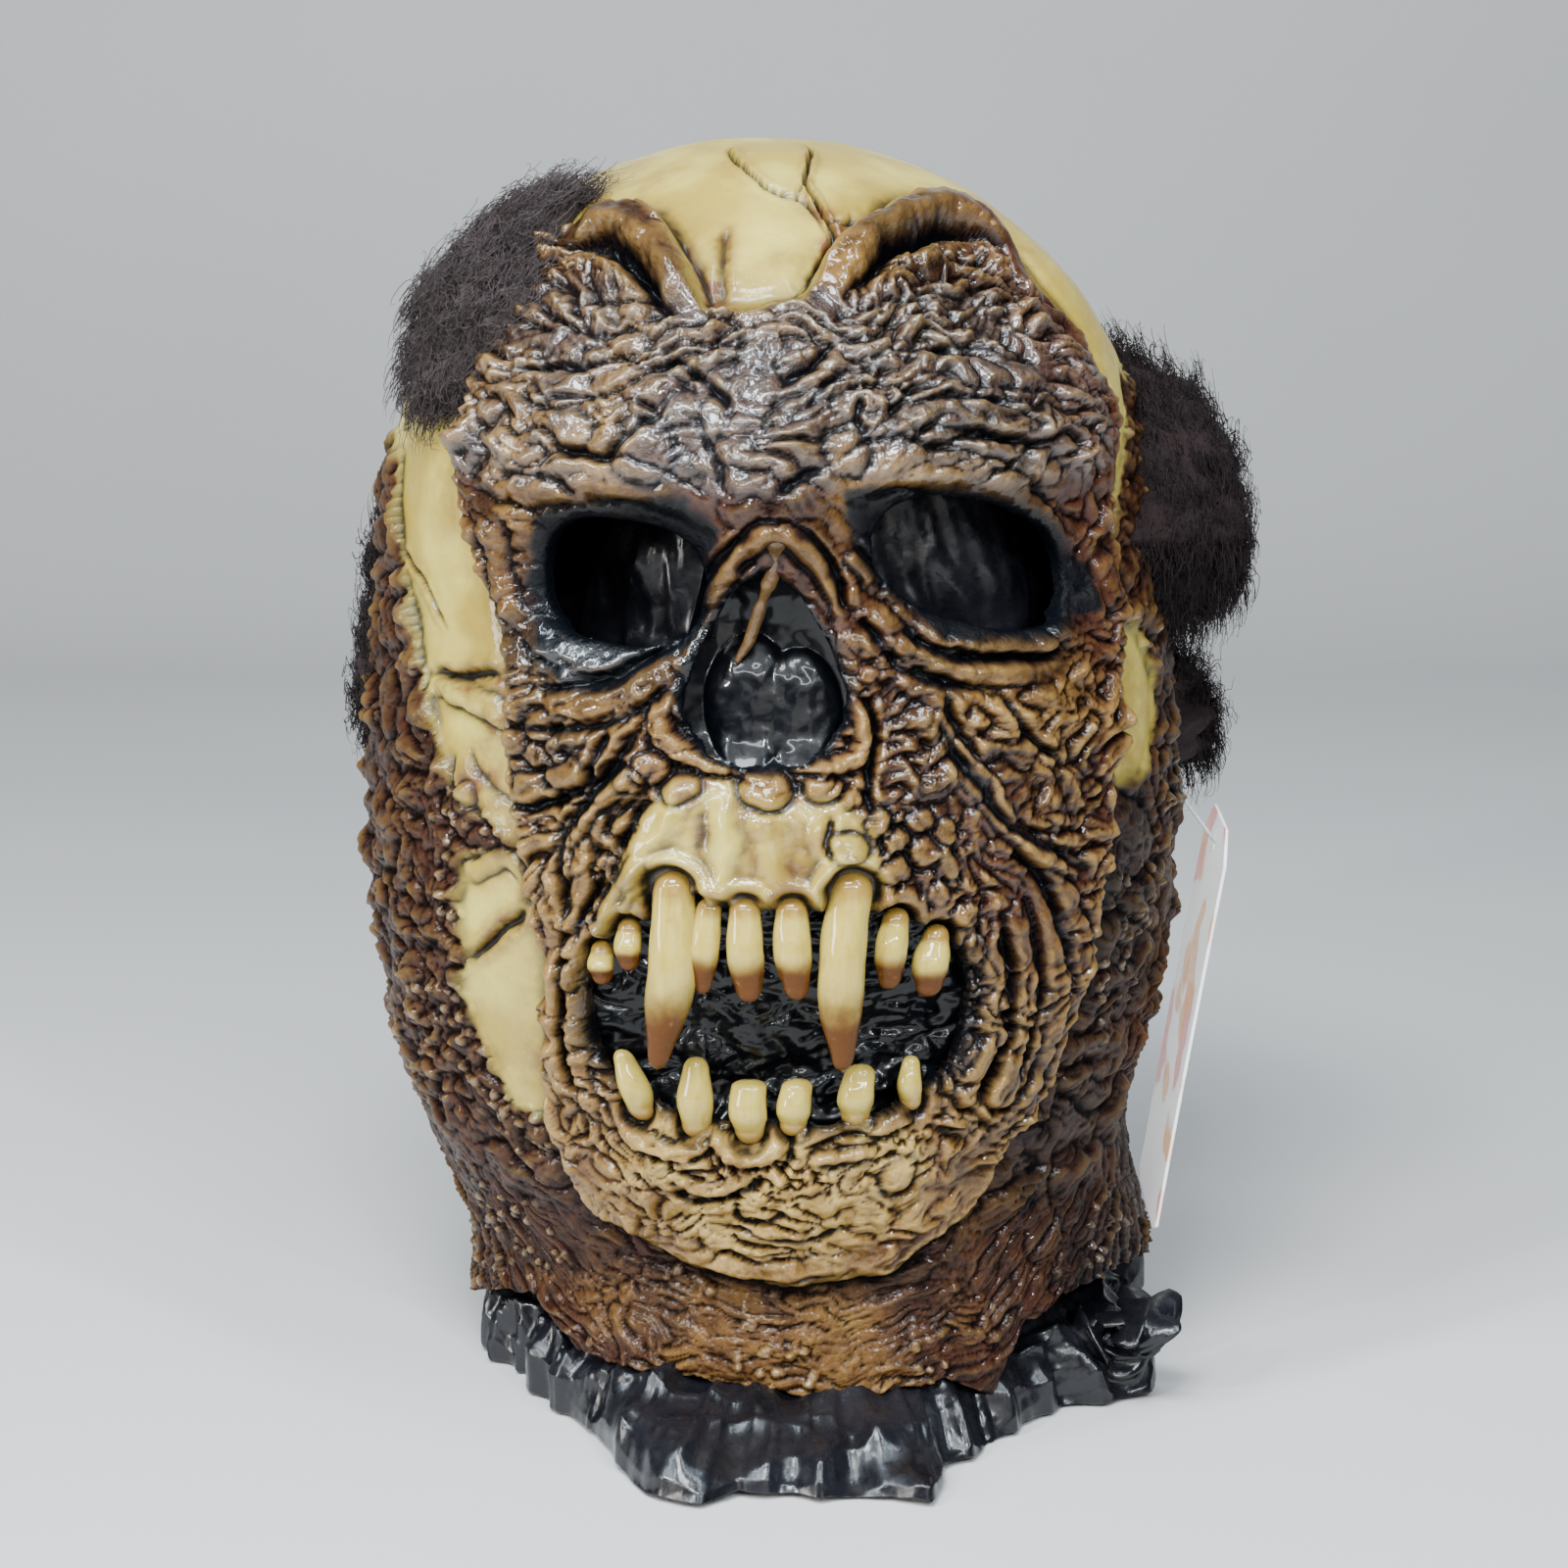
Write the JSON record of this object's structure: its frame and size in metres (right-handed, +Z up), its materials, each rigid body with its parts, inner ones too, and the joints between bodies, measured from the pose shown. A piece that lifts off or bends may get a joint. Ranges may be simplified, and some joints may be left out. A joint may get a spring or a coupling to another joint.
{
  "type": "latex halloween mask",
  "caption": "Full-head latex ghoul mask with a rotten face over bare skull, glued-in teeth and hair tufts, standing on its black plastic stuffing bag, with a blank hang tag.",
  "frame": {"origin": "centre of the neck opening, on the floor that the stuffing bag stands on", "axes": "+Z up through the crown, the face looks along -Y, +X is the wearer's left"},
  "size_m": [0.265, 0.258, 0.3511],
  "materials": {
    "painted_latex": "gloss painted latex",
    "black_latex": "gloss black painted latex",
    "tooth_resin": "gloss",
    "crepe_hair": "matt fibre",
    "clear_nylon": "clear",
    "white_card": "coated card",
    "black_film": "crinkled film"
  },
  "bodies": {
    "bag": {"stuffing_bag": "black_film"},
    "mask": {"latex_skin": "painted_latex", "mouth_lining": "black_latex", "nasal_lining": "black_latex", "upper_fang_left": "tooth_resin", "upper_fang_right": "tooth_resin", "upper_incisor_left": "tooth_resin", "upper_incisor_centre": "tooth_resin", "upper_incisor_right": "tooth_resin", "upper_cheek_tooth_right_front": "tooth_resin", "upper_cheek_tooth_right_back": "tooth_resin", "upper_cheek_tooth_left_front": "tooth_resin", "upper_cheek_tooth_left_back": "tooth_resin", "lower_canine_left": "tooth_resin", "lower_incisor_left": "tooth_resin", "lower_incisor_centre": "tooth_resin", "lower_incisor_right": "tooth_resin", "lower_canine_right": "tooth_resin", "lower_cheek_tooth_right": "tooth_resin", "hair_crown_left": "crepe_hair", "hair_temple_left": "crepe_hair", "hair_right_upper": "crepe_hair", "hair_right_lower": "crepe_hair", "hair_back": "crepe_hair"},
    "tack": {"tag_filament": "clear_nylon"},
    "tag": {"tag_card": "white_card"}
  },
  "joints": [
    {"name": "mask_lift_off", "type": "slide", "parent": "bag", "child": "mask", "axis": [0, 0, 1], "range_m": [0, 0.34]},
    {"name": "tack_lift", "type": "hinge", "parent": "mask", "child": "tack", "pos_m": [0.1126, -0.009, 0.169], "axis": [0, -1, 0], "range_deg": [0, 60]},
    {"name": "tag_swing", "type": "hinge", "parent": "tack", "child": "tag", "pos_m": [0.126, -0.009, 0.151], "axis": [1, 0, 0], "range_deg": [-25, 25]}
  ]
}
